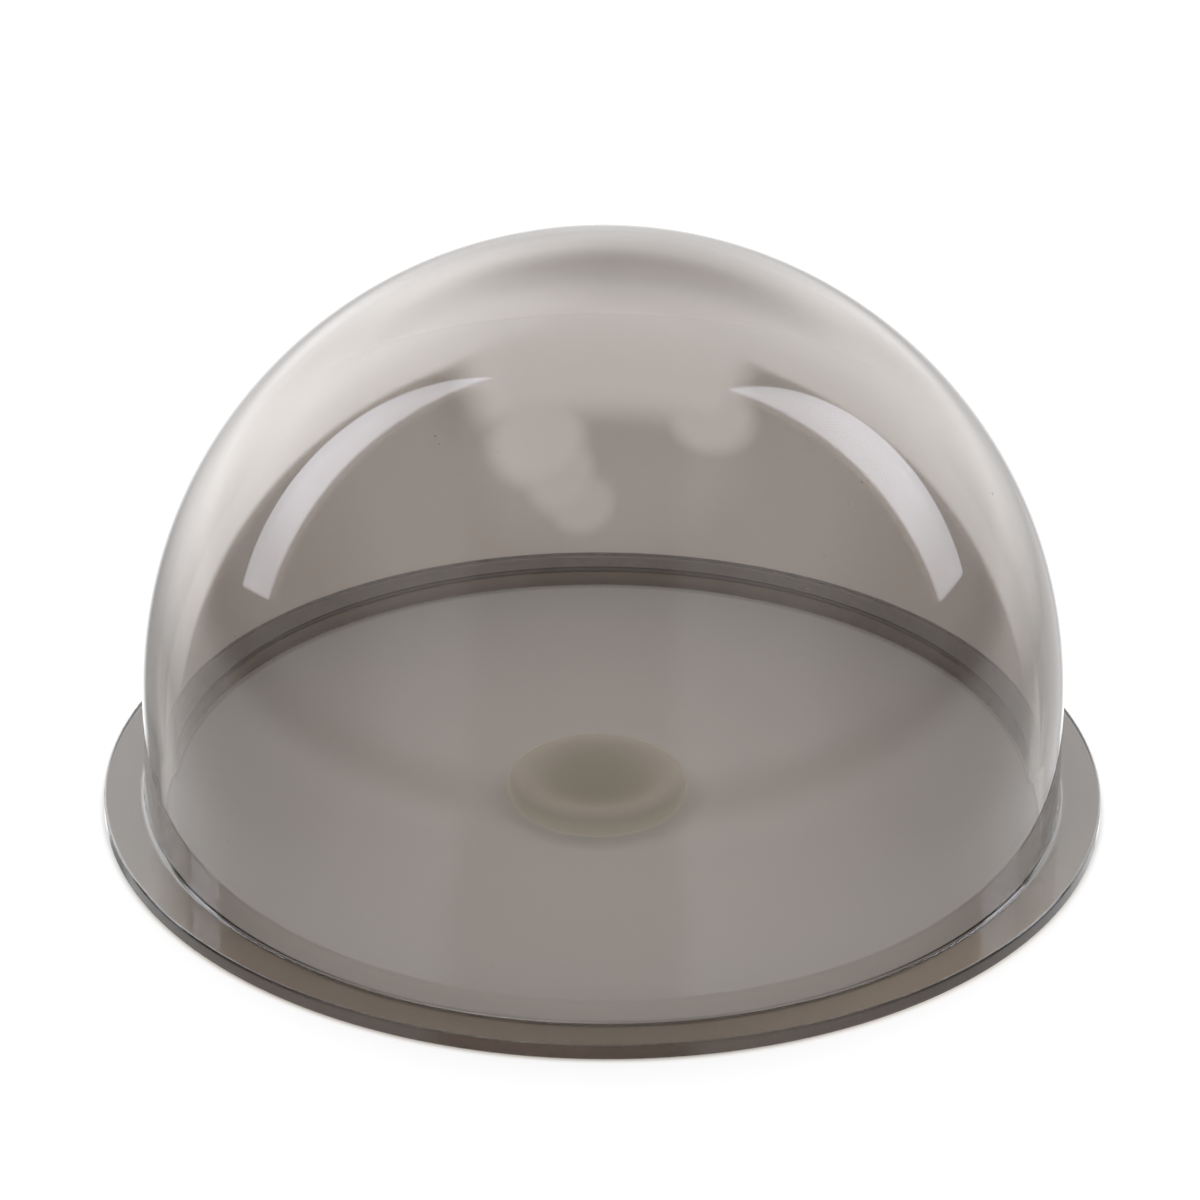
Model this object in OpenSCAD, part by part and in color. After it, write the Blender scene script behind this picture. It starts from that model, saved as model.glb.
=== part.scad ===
// Dome cover for a ceiling camera: one clear-tinted moulding, open underneath.
// A hemispherical crown stands on a short straight skirt, and a thin flat
// flange runs round the skirt's foot, where a housing clamps the cover down.
// Millimetres, +Z up. Origin: centre of the seating face.

/* [Dome] */

// Outside diameter of the skirt and of the hemispherical crown
dome_d = 145; // [110:1:180]

// Wall thickness, the same all over the crown and the skirt
wall = 2.5; // [1.5:0.1:3.5]

// Height of the straight skirt, from the seating face to where the crown starts
skirt_h = 20; // [10:0.5:40]

/* [Flange] */

// How far the flange stands out from the skirt
flange_w = 6.5; // [4:0.25:14]

// Thickness of the flange
flange_t = 2.5; // [1.5:0.1:4]

/* [Edges] */

// Moulding radius in the corner between the flange and the skirt
root_r = 0.8; // [0.3:0.1:1.5]

// Rounding of the flange's rim, top and bottom
rim_r = 0.4; // [0.1:0.1:0.6]

// Rounding of the inside edge of the mouth
mouth_r = 0.6; // [0.2:0.1:1]

/* [Hidden] */

// Outside and inside radius of the crown and the skirt
outer_r = dome_d / 2;
inner_r = outer_r - wall;

// Radius of the flange's rim
flange_r = outer_r + flange_w;

// How far neighbouring pieces of the section run into each other
lap = 0.2;

// Drawing fineness of the arcs
$fn = 240;

dome_smoke = [0.50, 0.47, 0.44, 0.55];

// The crown's half of the section: a quarter ring about the top of the skirt
module crown_section() {
    translate([0, skirt_h])
        difference() {
            intersection() {
                circle(r = outer_r);
                square(outer_r + 1);
            }
            circle(r = inner_r);
        }
}

// The straight skirt, with its inside bottom edge rounded
module skirt_section() {
    translate([inner_r, mouth_r])
        square([wall, skirt_h - mouth_r]);
    translate([inner_r + mouth_r, 0])
        square([wall - mouth_r + lap, mouth_r + lap]);
    translate([inner_r + mouth_r, mouth_r])
        circle(r = mouth_r);
}

// The flat flange, with both edges of its rim rounded
module flange_section() {
    translate([outer_r - lap, 0])
        square([flange_w + lap - rim_r, flange_t]);
    translate([outer_r, rim_r])
        square([flange_w, flange_t - 2 * rim_r]);
    for (z = [rim_r, flange_t - rim_r])
        translate([flange_r - rim_r, z])
            circle(r = rim_r);
}

// The moulding radius that runs from the flange's top up into the skirt
module root_section() {
    translate([outer_r, flange_t])
        difference() {
            translate([-lap, -lap])
                square(root_r + lap);
            translate([root_r, root_r])
                circle(r = root_r);
        }
}

// The whole cover: one wall section turned about the upright axis
module dome_cover() {
    color(dome_smoke)
        rotate_extrude()
            union() {
                crown_section();
                skirt_section();
                flange_section();
                root_section();
            }
}

dome_cover();
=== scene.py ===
import math

import bmesh
import bpy
from mathutils import Matrix, Vector


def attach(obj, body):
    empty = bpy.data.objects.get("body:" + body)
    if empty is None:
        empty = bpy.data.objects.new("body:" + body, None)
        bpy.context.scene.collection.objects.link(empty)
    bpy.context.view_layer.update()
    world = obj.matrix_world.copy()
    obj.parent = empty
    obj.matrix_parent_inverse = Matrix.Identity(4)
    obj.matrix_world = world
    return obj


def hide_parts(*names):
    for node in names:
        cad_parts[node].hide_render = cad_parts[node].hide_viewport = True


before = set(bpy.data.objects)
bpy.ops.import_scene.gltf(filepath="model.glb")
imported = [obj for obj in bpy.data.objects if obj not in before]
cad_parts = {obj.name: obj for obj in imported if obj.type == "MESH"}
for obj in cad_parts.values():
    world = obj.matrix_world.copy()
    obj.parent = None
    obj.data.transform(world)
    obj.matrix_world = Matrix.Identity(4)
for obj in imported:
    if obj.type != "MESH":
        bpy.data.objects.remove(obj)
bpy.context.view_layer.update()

# --------------------------------------------------------------------------
# Dome cover
# One moulding in smoke-tinted acrylic: a half-sphere crown on a short straight skirt,
# with a thin flat flange round the foot, open underneath.
# --------------------------------------------------------------------------

outer_radius = 0.0725
wall_thickness = 0.0025
crown_centre_height = 0.020
flange_radius = 0.079
flange_thickness = 0.0025
root_radius = 0.0008
rim_radius = 0.0004
mouth_radius = 0.0006
inner_radius = outer_radius - wall_thickness
crown_steps = 84
root_steps = 8
edge_steps = 6
steps_round = 360
flat_inset = 0.00006

section = []


def add_arc(centre, radius, start, end, steps):
    """Adds points along an arc of the wall section, angles in degrees from outwards."""
    for step in range(steps + 1):
        angle = math.radians(start + (end - start) * step / steps)
        section.append((centre[0] + radius * math.cos(angle), centre[1] + radius * math.sin(angle)))


def add_straight(start, end):
    """Adds a straight run, with a point just inside each end so that the shading stays flat."""
    run = Vector(end) - Vector(start)
    step = run.normalized() * flat_inset
    section.append((start[0] + step[0], start[1] + step[1]))
    section.append((end[0] - step[0], end[1] - step[1]))


crown_centre = (0, crown_centre_height)
root_centre = (outer_radius + root_radius, flange_thickness + root_radius)
upper_rim_centre = (flange_radius - rim_radius, flange_thickness - rim_radius)
lower_rim_centre = (flange_radius - rim_radius, rim_radius)
mouth_centre = (inner_radius + mouth_radius, mouth_radius)

add_arc(crown_centre, outer_radius, 90, 0, crown_steps)
add_straight((outer_radius, crown_centre_height), (outer_radius, root_centre[1]))
add_arc(root_centre, root_radius, 180, 270, root_steps)
add_straight((root_centre[0], flange_thickness), (upper_rim_centre[0], flange_thickness))
add_arc(upper_rim_centre, rim_radius, 90, 0, edge_steps)
add_straight((flange_radius, upper_rim_centre[1]), (flange_radius, lower_rim_centre[1]))
add_arc(lower_rim_centre, rim_radius, 0, -90, edge_steps)
add_straight((lower_rim_centre[0], 0), (mouth_centre[0], 0))
add_arc(mouth_centre, mouth_radius, 270, 180, edge_steps)
add_straight((inner_radius, mouth_radius), (inner_radius, crown_centre_height))
add_arc(crown_centre, inner_radius, 0, 90, crown_steps)

section_mesh = bpy.data.meshes.new("wall section")
section_points = [(across, up, 0) for across, up in section]
section_edges = [(point, point + 1) for point in range(len(section) - 1)]
section_mesh.from_pydata(section_points, section_edges, [])
section_object = bpy.data.objects.new("wall section", section_mesh)
bpy.context.scene.collection.objects.link(section_object)


class Graph:
    """Adds nodes to one node tree, and does sums on its sockets."""

    def __init__(self, tree):
        self.tree = tree

    def add(self, kind, inputs=None, **settings):
        """One node with its settings, each input fed by a socket or a plain value."""
        node = self.tree.nodes.new(kind)
        for name, value in settings.items():
            setattr(node, name, value)
        for name, value in (inputs or {}).items():
            if isinstance(value, bpy.types.NodeSocket):
                self.tree.links.new(value, node.inputs[name])
            else:
                node.inputs[name].default_value = value
        return node

    def maths(self, operation, *values):
        """One Math node on sockets or numbers."""
        return self.add("ShaderNodeMath", dict(enumerate(values)), operation=operation).outputs["Value"]

    def times(self, first, second):
        """The product of two sockets or numbers."""
        return self.maths("MULTIPLY", first, second)

    def plus(self, first, second):
        """The sum of two sockets or numbers."""
        return self.maths("ADD", first, second)

    def line(self, value, slope, start):
        """The start, plus the slope for each 1 of the value."""
        return self.maths("MULTIPLY_ADD", value, slope, start)

    def rest(self, value):
        """What the value lacks of 1."""
        return self.maths("SUBTRACT", 1.0, value)

    def larger(self, first, second):
        """The larger of two sockets or numbers."""
        return self.maths("MAXIMUM", first, second)

    def step(self, value, start, end):
        """0 up to the start and 1 from the end, eased between them."""
        limits = {"Value": value, "From Min": start, "From Max": end}
        return self.add("ShaderNodeMapRange", limits, interpolation_type="SMOOTHSTEP").outputs["Result"]


# smoked acrylic: polished both sides, satin underneath, with faint smudges and a little dust
acrylic_index = 1.49
tint = (0.3075, 0.235, 0.1775, 1)
tint_density = 400.0
smudge_roughness = 0.008
dust_roughness = 0.6
dust_colour = (0.62, 0.60, 0.56, 1)
satin_roughness = 0.22

smoked = bpy.data.materials.new("smoked acrylic")
smoked.use_nodes = True
acrylic = Graph(smoked.node_tree)
shader = smoked.node_tree.nodes["Principled BSDF"]
shader.inputs["Transmission Weight"].default_value = 1.0
shader.inputs["IOR"].default_value = acrylic_index
place = acrylic.add("ShaderNodeTexCoord").outputs["Object"]

depth_tint = acrylic.add("ShaderNodeVolumeAbsorption", {"Color": tint, "Density": tint_density})
material_output = smoked.node_tree.nodes["Material Output"]
smoked.node_tree.links.new(depth_tint.outputs["Volume"], material_output.inputs["Volume"])

smudge = acrylic.add("ShaderNodeTexNoise", {"Vector": place, "Scale": 22.0, "Detail": 5.0})
smudged = acrylic.add(
    "ShaderNodeMapRange",
    {"Value": smudge.outputs["Fac"], "From Min": 0.45, "From Max": 0.80, "To Max": smudge_roughness},
)
dust = acrylic.add("ShaderNodeTexVoronoi", {"Vector": place, "Scale": 90.0})
speck = acrylic.add(
    "ShaderNodeMapRange",
    {"Value": dust.outputs["Distance"], "From Min": 0.013, "From Max": 0.019, "To Min": 1.0, "To Max": 0.0},
)
height = acrylic.add("ShaderNodeSeparateXYZ", {"Vector": place})
underside = acrylic.add(
    "ShaderNodeMapRange",
    {"Value": height.outputs["Z"], "From Min": 0.00004, "From Max": 0.00012,
     "To Min": satin_roughness, "To Max": 0.0},
)
speck_roughness = acrylic.times(speck.outputs["Result"], dust_roughness)
roughness = acrylic.larger(smudged.outputs["Result"], speck_roughness)
roughness = acrylic.larger(roughness, underside.outputs["Result"])
smoked.node_tree.links.new(roughness, shader.inputs["Roughness"])

tone = acrylic.add(
    "ShaderNodeMix",
    {"Factor": speck.outputs["Result"], "A": (1, 1, 1, 1), "B": dust_colour},
    data_type="RGBA",
)
smoked.node_tree.links.new(tone.outputs["Result"], shader.inputs["Base Color"])

# the turning: the section is swept round the upright axis, on a small circle that is taken off again
path_radius = 0.001
merge_distance = 0.000004
turning = bpy.data.node_groups.new("turned cover", "GeometryNodeTree")
turning.interface.new_socket("Section", in_out="INPUT", socket_type="NodeSocketGeometry")
steps_socket = turning.interface.new_socket("Steps round", in_out="INPUT", socket_type="NodeSocketInt")
material_socket = turning.interface.new_socket("Material", in_out="INPUT", socket_type="NodeSocketMaterial")
turning.interface.new_socket("Cover", in_out="OUTPUT", socket_type="NodeSocketGeometry")
lathe = Graph(turning)
given = lathe.add("NodeGroupInput").outputs
outline = lathe.add("GeometryNodeMeshToCurve", {"Mesh": given["Section"]})
set_in = lathe.add(
    "GeometryNodeTransform",
    {"Geometry": outline.outputs["Curve"], "Translation": (-path_radius, 0, 0), "Scale": (1, -1, 1)},
)
path = lathe.add(
    "GeometryNodeCurvePrimitiveCircle", {"Resolution": given["Steps round"], "Radius": path_radius}
)
sweep = lathe.add(
    "GeometryNodeCurveToMesh",
    {"Curve": path.outputs["Curve"], "Profile Curve": set_in.outputs["Geometry"]},
)
closed = lathe.add(
    "GeometryNodeMergeByDistance", {"Geometry": sweep.outputs["Mesh"], "Distance": merge_distance}
)
smooth = lathe.add("GeometryNodeSetShadeSmooth", {"Geometry": closed.outputs["Geometry"]})
real = lathe.add("GeometryNodeRealizeInstances", {"Geometry": smooth.outputs["Geometry"]})
finished = lathe.add(
    "GeometryNodeSetMaterial", {"Geometry": real.outputs["Geometry"], "Material": given["Material"]}
)
lathe.add("NodeGroupOutput", {"Cover": finished.outputs["Geometry"]})

turn = section_object.modifiers.new("turning", "NODES")
turn.node_group = turning
turn[steps_socket.identifier] = steps_round
turn[material_socket.identifier] = smoked
bpy.context.view_layer.update()
made = section_object.evaluated_get(bpy.context.evaluated_depsgraph_get())
cover_mesh = bpy.data.meshes.new_from_object(made)
cover_mesh.name = "dome cover"
section_object.modifiers.remove(turn)
bpy.data.objects.remove(section_object)

cover = bpy.data.objects.new("dome_cover_smoked", cover_mesh)
bpy.context.scene.collection.objects.link(cover)
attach(cover, "root")
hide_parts("dome_cover")

# --------------------------------------------------------------------------
# Stage: the round pad that lies under the cover
# A low puck in soft grey-green plastic, loose on the table near the middle, with a rounded
# edge and a shallow dished top. It isn't part of the cover.
# --------------------------------------------------------------------------

pad_offset = -0.0008
pad_steps_round = 96
pad_rings = (
    (0.0138, 0.0),
    (0.0143, 0.0013),
    (0.0139, 0.0028),
    (0.0128, 0.0034),
    (0.0105, 0.0034),
    (0.0088, 0.0028),
    (0.0060, 0.0025),
)
pad_middle_height = 0.0024

pad_build = bmesh.new()
rings = []
for ring_radius, ring_height in pad_rings:
    ring = []
    for turn_step in range(pad_steps_round):
        angle = turn_step * math.tau / pad_steps_round
        spot = (ring_radius * math.cos(angle), ring_radius * math.sin(angle), ring_height)
        ring.append(pad_build.verts.new(spot))
    rings.append(ring)
pad_middle = pad_build.verts.new((0, 0, pad_middle_height))
for low, high in zip(rings, rings[1:]):
    for here in range(pad_steps_round):
        after = (here + 1) % pad_steps_round
        pad_build.faces.new((low[here], low[after], high[after], high[here])).smooth = True
for here in range(pad_steps_round):
    after = (here + 1) % pad_steps_round
    pad_build.faces.new((rings[-1][here], rings[-1][after], pad_middle)).smooth = True
pad_mesh = bpy.data.meshes.new("pad")
pad_build.to_mesh(pad_mesh)
pad_build.free()

# matt plastic, greener and darker in the dish and paler on the crest; the same colours also set a faint
# glow, which is painted light
pad_tone_reach = 0.016
pad_dish = (0.48, 0.46, 0.38, 1)
pad_dish_edge = (0.50, 0.48, 0.40, 1)
pad_slope = (0.66, 0.64, 0.57, 1)
pad_crest = (0.76, 0.74, 0.67, 1)
pad_side = (0.60, 0.58, 0.50, 1)
pad_paint = bpy.data.materials.new("pad")
pad_paint.use_nodes = True
pad_graph = Graph(pad_paint.node_tree)
pad_shader = pad_paint.node_tree.nodes["Principled BSDF"]
pad_shader.inputs["Roughness"].default_value = 0.7
# painted light: the pad glows a little in its own colours, to stay as bright as the glowing floor round it
pad_shader.inputs["Emission Strength"].default_value = 0.30
pad_place = pad_graph.add("ShaderNodeTexCoord").outputs["Object"]
pad_flat = pad_graph.add("ShaderNodeVectorMath", {0: pad_place, 1: (1, 1, 0)}, operation="MULTIPLY")
pad_out = pad_graph.add("ShaderNodeVectorMath", {0: pad_flat.outputs["Vector"]}, operation="LENGTH")
pad_across = pad_graph.add(
    "ShaderNodeMapRange", {"Value": pad_out.outputs["Value"], "From Max": pad_tone_reach}
)
pad_tone_and_glow = pad_graph.add("ShaderNodeValToRGB", {"Fac": pad_across.outputs["Result"]})
pad_ramp = pad_tone_and_glow.color_ramp
pad_ramp.interpolation = "B_SPLINE"
pad_ramp.elements[0].color = pad_dish
pad_ramp.elements[1].position = 0.90
pad_ramp.elements[1].color = pad_side
for stop_place, stop_colour in ((0.40, pad_dish_edge), (0.62, pad_slope), (0.80, pad_crest)):
    pad_ramp.elements.new(stop_place).color = stop_colour
pad_paint.node_tree.links.new(pad_tone_and_glow.outputs["Color"], pad_shader.inputs["Base Color"])
pad_paint.node_tree.links.new(pad_tone_and_glow.outputs["Color"], pad_shader.inputs["Emission Color"])
pad_mesh.materials.append(pad_paint)

pad = bpy.data.objects.new("pad", pad_mesh)
pad.location = (pad_offset, 0, 0)
bpy.context.scene.collection.objects.link(pad)

# --------------------------------------------------------------------------
# Stage: floor
# The pale matt table that the cover stands on, a disc just wider than the view. It glows, and its
# glow is painted light and shade: strong out in the open, where it hides the cover's shadow, dimmer
# under the cover, and mirror-like rays pass it by and meet the table that the studio light paints.
# --------------------------------------------------------------------------

floor_radius = 0.20
floor_drop = 0.00005
open_tone = 0.50
covered_tone = 0.80
open_glow = 0.68
open_glow_lost_in_front = -0.60
inside_glow = 0.27
inside_glow_added_in_front = 0.10
flange_glow = 0.20
flange_glow_added_to_the_right = 0.12
pad_shade = 0.55
front_light = (1.0, 0.88, 0.72, 1)

floor_paint = bpy.data.materials.new("pale floor")
floor_paint.use_nodes = True
table = Graph(floor_paint.node_tree)
floor_shader = floor_paint.node_tree.nodes["Principled BSDF"]
floor_shader.inputs["Roughness"].default_value = 0.9
floor_shader.inputs["Specular IOR Level"].default_value = 0.0
floor_place = table.add("ShaderNodeTexCoord").outputs["Object"]
floor_split = table.add("ShaderNodeSeparateXYZ", {"Vector": floor_place})


def distance_from(centre):
    """How far a place on the floor is from that centre."""
    node = table.add("ShaderNodeVectorMath", {0: floor_place, 1: centre}, operation="DISTANCE")
    return node.outputs["Value"]


# where a place is: out in the open, under the flange, under the wall, in front, to the right
from_axis = distance_from((0, 0, 0))
open_floor = table.step(from_axis, 0.0785, 0.0800)
covered = table.rest(open_floor)
past_mouth = table.step(from_axis, 0.0690, 0.0715)
wall_starts = table.step(from_axis, 0.0692, 0.0700)
wall_ends = table.step(from_axis, 0.0716, 0.0726)
under_wall = table.maths("SUBTRACT", wall_starts, wall_ends)
to_front = table.step(floor_split.outputs["Y"], 0.0, -0.060)
to_right = table.step(floor_split.outputs["X"], 0.010, 0.050)
clear_of_pad = table.step(distance_from((pad_offset, -0.0006, 0)), 0.0130, 0.0185)

# the floor in front is paler to the lens than to the cover, whose front half it leaves dark
floor_rays = table.add("ShaderNodeLightPath")
not_seen = table.rest(floor_rays.outputs["Is Camera Ray"])
lost_in_front = table.times(table.times(not_seen, to_front), open_glow_lost_in_front)
open_light = table.plus(lost_in_front, open_glow)

# under the cover the glow is painted light and shade: brightest towards the front, more to the right under
# the front of the flange, with painted shade round the pad and under the flange and wall
flange_light = table.line(table.times(to_front, to_right), flange_glow_added_to_the_right, flange_glow)
flange_light = table.times(flange_light, table.line(under_wall, -0.65, 1.0))
inside_light = table.line(to_front, inside_glow_added_in_front, inside_glow)
inside_light = table.times(inside_light, table.line(clear_of_pad, 1.0 - pad_shade, pad_shade))
covered_light = table.plus(
    table.times(inside_light, table.rest(past_mouth)), table.times(past_mouth, flange_light)
)
floor_light = table.plus(table.times(covered_light, covered), table.times(open_light, open_floor))
floor_paint.node_tree.links.new(floor_light, floor_shader.inputs["Emission Strength"])
# the floor's own tone is darker out in the open, where its glow is stronger, and a painted shade ring
# darkens it under the wall
floor_tone = table.line(open_floor, open_tone - covered_tone, covered_tone)
floor_tone = table.line(under_wall, -0.20, floor_tone)
floor_paint.node_tree.links.new(floor_tone, floor_shader.inputs["Base Color"])

# light that comes back up through the front of the flange is warmer
warm_share = table.times(to_front, table.times(past_mouth, covered))
floor_colour = table.add(
    "ShaderNodeMix", {"Factor": warm_share, "A": (1, 1, 1, 1), "B": front_light}, data_type="RGBA"
)
floor_paint.node_tree.links.new(floor_colour.outputs["Result"], floor_shader.inputs["Emission Color"])

floor_build = bmesh.new()
bmesh.ops.create_circle(floor_build, cap_ends=True, segments=128, radius=floor_radius)
floor_mesh = bpy.data.meshes.new("floor")
floor_build.to_mesh(floor_mesh)
floor_build.free()
floor_mesh.materials.append(floor_paint)
floor = bpy.data.objects.new("floor", floor_mesh)
floor.location = (0, 0, -floor_drop)
bpy.context.scene.collection.objects.link(floor)
floor.visible_glossy = False

# --------------------------------------------------------------------------
# Stage: studio light
# Even pale light all round, and for mirror-like reflections a bright backdrop behind the cover,
# a slanting strip light each side, soft panels overhead, a pale table, and a dim room in front.
# --------------------------------------------------------------------------

world = bpy.data.worlds.new("studio")
bpy.context.scene.world = world
world.use_nodes = True
world.node_tree.nodes.clear()
sky = Graph(world.node_tree)
direction = sky.add("ShaderNodeTexCoord").outputs["Generated"]
lean = sky.add("ShaderNodeSeparateXYZ", {"Vector": direction})
rightward = lean.outputs["X"]
backward = lean.outputs["Y"]
upward_lean = lean.outputs["Z"]
sideways = sky.maths("ABSOLUTE", rightward)


def beyond(value, edge, soft):
    """0 below the edge and 1 above it, with a soft step of that width."""
    return sky.step(value, edge - soft / 2, edge + soft / 2)


def short_of(value, edge, soft):
    """1 below the edge and 0 above it, with a soft step of that width."""
    return sky.rest(beyond(value, edge, soft))


def along(axis):
    """How far the direction leans along an axis."""
    return sky.add("ShaderNodeVectorMath", {0: direction, 1: axis}, operation="DOT_PRODUCT").outputs["Value"]


# bright backdrop, its top edge softer than its sides
backdrop_edge = 0.52
backdrop_level = 4.9
edge_width = sky.line(beyond(upward_lean, 0.77, 0.18), 0.24, 0.05)
backdrop_start = sky.line(edge_width, -0.5, backdrop_edge)
backdrop_end = sky.line(edge_width, 0.5, backdrop_edge)
backdrop_area = sky.step(backward, backdrop_start, backdrop_end)
# it fades towards straight behind, less so low down in the middle, and is brightest to the left
low_middle = sky.times(short_of(sideways, 0.42, 0.20), short_of(upward_lean, 0.30, 0.25))
fade = sky.times(beyond(backward, 0.86, 0.30), sky.line(low_middle, -0.4, 1.0))
backdrop_sides = sky.line(sky.maths("MINIMUM", sideways, 0.5), 0.4, 0.8)
backdrop_left = sky.line(sky.larger(rightward, -0.2), -0.34, 1.02)
backdrop = sky.times(sky.times(sky.line(fade, -3.0, backdrop_level), backdrop_sides), backdrop_left)

# below the horizon the same rays meet the table behind: base level, sides, far table, horizon, outline
table_to_side = beyond(sideways, 0.42, 0.50)
table_light = sky.line(sky.times(beyond(upward_lean, -0.22, 0.32), table_to_side), 1.8, 0.45)
table_light = sky.line(sky.times(beyond(upward_lean, -0.47, 0.05), table_to_side), 0.4, table_light)
table_light = sky.line(beyond(upward_lean, -0.33, 0.20), 0.6, table_light)
horizon = sky.times(sky.line(beyond(sideways, 0.18, 0.24), 0.6, 0.4), beyond(upward_lean, -0.12, 0.14))
horizon = sky.times(horizon, sky.line(beyond(sideways, 0.38, 0.20), -0.6, 1.0))
table_light = sky.plus(table_light, horizon)
table_light = sky.line(beyond(along((0.0, 0.881, -0.473)), 0.955, 0.05), 1.1, table_light)
table_light = sky.times(table_light, sky.line(sky.larger(rightward, 0.0), -0.34, 1.0))
above_table = beyond(upward_lean, 0.12, 0.34)
behind = sky.plus(sky.times(backdrop, above_table), sky.times(table_light, sky.rest(above_table)))
behind = sky.times(backdrop_area, behind)

# soft panels overhead: one that joins the backdrop in the middle, and four round ones
panel = sky.times(short_of(sideways, 0.43, 0.16), beyond(backward, 0.12, 0.30))
overhead = sky.times(panel, 4.3)
for right_at, back_at, half_width, half_length, panel_level in (
    (-0.24, 0.04, 0.18, 0.24, 3.9),
    (-0.17, -0.14, 0.14, 0.20, 3.2),
    (-0.09, -0.28, 0.14, 0.14, 2.7),
    (0.35, 0.20, 0.15, 0.20, 3.7),
):
    aside = sky.maths("DIVIDE", sky.maths("SUBTRACT", rightward, right_at), half_width)
    ahead = sky.maths("DIVIDE", sky.maths("SUBTRACT", backward, back_at), half_length)
    distance_out = sky.maths("SQRT", sky.plus(sky.times(aside, aside), sky.times(ahead, ahead)))
    overhead = sky.larger(overhead, sky.times(short_of(distance_out, 1.0, 0.75), panel_level))
overhead = sky.times(overhead, beyond(upward_lean, 0.6, 0.3))
# and a darker gap straight behind
gap = beyond(along((0.09, 0.90, 0.426)), 0.955, 0.09)
behind = sky.maths("SUBTRACT", behind, sky.times(gap, 0.8))
behind = sky.larger(behind, overhead)

# strip lights: between two curved edges, cut off at the bottom, brightest half way up
strip_level = sky.line(beyond(upward_lean, 0.30, 0.25), 2.4, 3.6)
strip_level = sky.line(beyond(upward_lean, 0.65, 0.15), -1.0, strip_level)
strips = []
for outer_axis, outer_edge, inner_axis, inner_edge, foot_axis in (
    ((0.652, 0.526, -0.546), -0.4796, (0.120, 0.901, -0.416), -0.0349, (0.225, 0.379, 0.898)),
    ((-0.783, 0.255, -0.567), -0.6903, (-0.161, 0.908, -0.387), -0.0629, (-0.211, 0.214, 0.954)),
):
    inside_outer = short_of(along(outer_axis), outer_edge, 0.012)
    inside_inner = beyond(along(inner_axis), inner_edge, 0.03)
    above_foot = beyond(along(foot_axis), 0.0, 0.012)
    strip = sky.times(inside_outer, sky.times(inside_inner, above_foot))
    strips.append(sky.times(strip, strip_level))
lamps = sky.larger(strips[0], strips[1])

# dim room in front, a little lighter either side of the middle and overhead, dark low down
room_sides = sky.plus(short_of(rightward, -0.53, 0.14), beyond(rightward, 0.30, 0.14))
room = sky.line(room_sides, 0.45, 0.55)
room = sky.times(room, sky.line(beyond(upward_lean, 0.06, 0.14), 0.55, 0.45))
room = sky.times(room, sky.line(beyond(sideways, 0.85, 0.22), -0.5, 1.0))
room = sky.line(beyond(upward_lean, 0.88, 0.14), 0.7, room)
table_glow = sky.times(short_of(upward_lean, -0.10, 0.14), sky.line(room_sides, 0.45, 0.25))
room = sky.plus(room, table_glow)
studio = sky.plus(lamps, sky.larger(behind, room))

# everything else: pale light from all round, strongest low down and behind
pale = sky.line(short_of(upward_lean, 0.35, 0.5), 0.9, 0.5)
pale = sky.line(beyond(backward, 0.35, 0.9), 1.3, pale)
white_to_the_lens = 1.25

rays = sky.add("ShaderNodeLightPath")
mirrored = sky.maths("MINIMUM", rays.outputs["Glossy Depth"], 1.0)
scattered = sky.maths("MINIMUM", rays.outputs["Diffuse Depth"], 1.0)
mirror_like = sky.times(mirrored, sky.rest(scattered))
surroundings = sky.plus(sky.times(pale, scattered), sky.times(sky.rest(scattered), white_to_the_lens))
light_level = sky.plus(sky.times(studio, mirror_like), sky.times(sky.rest(mirror_like), surroundings))
lamp_share = sky.times(sky.maths("MINIMUM", lamps, 1.0), mirror_like)
light_colour = sky.add(
    "ShaderNodeMix", {"Factor": lamp_share, "A": (1, 1, 1, 1), "B": (0.96, 0.98, 1.06, 1)}, data_type="RGBA"
)
glow = sky.add("ShaderNodeBackground", {"Color": light_colour.outputs["Result"], "Strength": light_level})
sky.add("ShaderNodeOutputWorld", {"Surface": glow.outputs["Background"]})

# --------------------------------------------------------------------------
# Stage: camera
# A long lens about a metre away, looking down at the cover from the front, with everything
# sharp and a very slight roll.
# --------------------------------------------------------------------------

camera_data = bpy.data.cameras.new("camera")
camera_data.sensor_width = 36.0
camera_data.lens = 183.545
camera_data.clip_start = 0.05
camera_data.clip_end = 20.0
tilt = 0.49295
roll = -0.00718
camera_distance = 0.95690
aim = Vector((-0.000594, 0, 0.034740))
back = Vector((0, -math.cos(tilt), math.sin(tilt)))
level_right = Vector((1, 0, 0))
level_up = Vector((0, math.sin(tilt), math.cos(tilt)))
right = math.cos(roll) * level_right - math.sin(roll) * level_up
up = math.sin(roll) * level_right + math.cos(roll) * level_up
turned = Matrix((right, up, back)).transposed().to_4x4()
camera = bpy.data.objects.new("camera", camera_data)
camera.matrix_world = Matrix.Translation(aim + camera_distance * back) @ turned
bpy.context.scene.collection.objects.link(camera)
bpy.context.scene.camera = camera
bpy.context.scene.view_settings.view_transform = "Standard"
